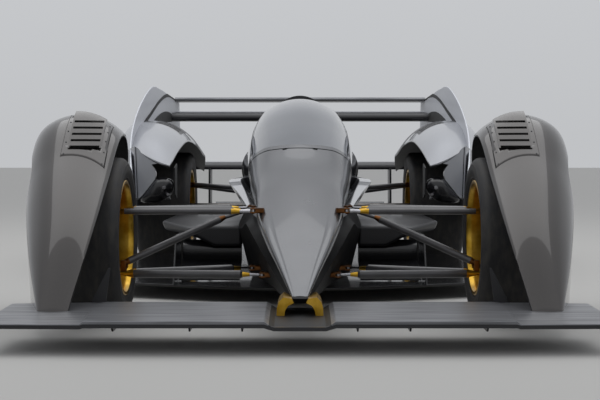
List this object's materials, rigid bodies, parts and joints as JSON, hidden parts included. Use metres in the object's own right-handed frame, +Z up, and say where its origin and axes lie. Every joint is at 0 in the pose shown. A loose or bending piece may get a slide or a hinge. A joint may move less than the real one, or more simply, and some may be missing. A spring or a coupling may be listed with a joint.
{
  "type": "closed-canopy single-seat track racing car",
  "caption": "Closed-canopy single-seat track racing car with tall wheel fenders, a wide front wing, gold wheels and fins that carry the rear wing.",
  "frame": {"origin": "on the ground under the middle of the car's length and width", "axes": "+Z up, -Y towards the nose, +X to the driver's left"},
  "size_m": [2.2024, 5.5, 1.1331],
  "materials": {
    "silver_paint": "gloss metallic",
    "fender_paint": "gloss metallic",
    "gloss_carbon": "gloss",
    "satin_carbon": "satin",
    "tinted_glass": "gloss",
    "gold_metal": "satin anodised",
    "dark_tube": "satin",
    "cast_metal": "cast",
    "tyre_rubber": "matte",
    "brake_steel": "machined",
    "seat_fabric": "woven",
    "dark_plastic": "satin",
    "lamp_red": "gloss"
  },
  "bodies": {
    "chassis": {"body_shell": "silver_paint", "canopy_ears": "gloss_carbon", "cockpit_shoulders": "silver_paint", "dash": "dark_plastic", "engine_block": "cast_metal", "engine_cover": "silver_paint", "fender_louvres": "satin_carbon", "floor": "gloss_carbon", "front_arms": "dark_tube", "front_fenders": "fender_paint", "front_pushrods": "dark_tube", "front_wing": "satin_carbon", "gearbox": "cast_metal", "headrest": "seat_fabric", "monocoque": "gloss_carbon", "nose_pylons": "gold_metal", "rear_arms": "dark_tube", "rear_fins": "silver_paint", "rear_light": "lamp_red", "rear_pods": "silver_paint", "rear_pylons": "satin_carbon", "rear_uprights": "cast_metal", "rear_wing": "satin_carbon", "roll_hoop": "satin_carbon", "seat": "seat_fabric", "side_decks": "gloss_carbon", "wing_strakes": "satin_carbon"},
    "canopy": {"canopy_glass": "tinted_glass", "canopy_frame": "silver_paint"},
    "front_left_knuckle": {"front_left_upright": "cast_metal"},
    "front_right_knuckle": {"front_right_upright": "cast_metal"},
    "steering_rack": {"track_rods": "dark_tube"},
    "steering_column": {"steering_wheel": "dark_plastic"},
    "front_left_wheel": {"front_left_tyre": "tyre_rubber", "front_left_rim": "gold_metal", "front_left_disc": "brake_steel"},
    "front_right_wheel": {"front_right_tyre": "tyre_rubber", "front_right_rim": "gold_metal", "front_right_disc": "brake_steel"},
    "rear_left_wheel": {"rear_left_tyre": "tyre_rubber", "rear_left_rim": "gold_metal", "rear_left_disc": "brake_steel"},
    "rear_right_wheel": {"rear_right_tyre": "tyre_rubber", "rear_right_rim": "gold_metal", "rear_right_disc": "brake_steel"}
  },
  "joints": [
    {"name": "canopy_hinge", "type": "hinge", "parent": "chassis", "child": "canopy", "pos_m": [0, -1.13, 0.625], "axis": [1, 0, 0], "range_deg": [0, 55]},
    {"name": "left_steer", "type": "hinge", "parent": "chassis", "child": "front_left_knuckle", "pos_m": [0.79, -1.72, 0.335], "axis": [0, 0, 1], "range_deg": [-18, 18]},
    {"name": "right_steer", "type": "hinge", "parent": "chassis", "child": "front_right_knuckle", "pos_m": [-0.79, -1.72, 0.335], "axis": [0, 0, 1], "range_deg": [-18, 18]},
    {"name": "rack_slide", "type": "slide", "parent": "chassis", "child": "steering_rack", "axis": [1, 0, 0], "range_m": [-0.0255, 0.0255]},
    {"name": "steering_wheel_turn", "type": "hinge", "parent": "chassis", "child": "steering_column", "pos_m": [0, -0.64, 0.64], "axis": [0, 0.9397, 0.342], "range_deg": [-145, 145]},
    {"name": "front_left_spin", "type": "hinge", "parent": "front_left_knuckle", "child": "front_left_wheel", "pos_m": [0.862, -1.72, 0.335], "axis": [1, 0, 0], "continuous": true},
    {"name": "front_right_spin", "type": "hinge", "parent": "front_right_knuckle", "child": "front_right_wheel", "pos_m": [-0.862, -1.72, 0.335], "axis": [1, 0, 0], "continuous": true},
    {"name": "rear_left_spin", "type": "hinge", "parent": "chassis", "child": "rear_left_wheel", "pos_m": [0.88, 1.38, 0.355], "axis": [1, 0, 0], "continuous": true},
    {"name": "rear_right_spin", "type": "hinge", "parent": "chassis", "child": "rear_right_wheel", "pos_m": [-0.88, 1.38, 0.355], "axis": [1, 0, 0], "continuous": true}
  ],
  "couplings": [
    {"joint": "right_steer", "follows": "left_steer", "ratio": 1},
    {"joint": "rack_slide", "follows": "left_steer", "m_per_rad": 0.08},
    {"joint": "steering_wheel_turn", "follows": "left_steer", "ratio": 8}
  ]
}
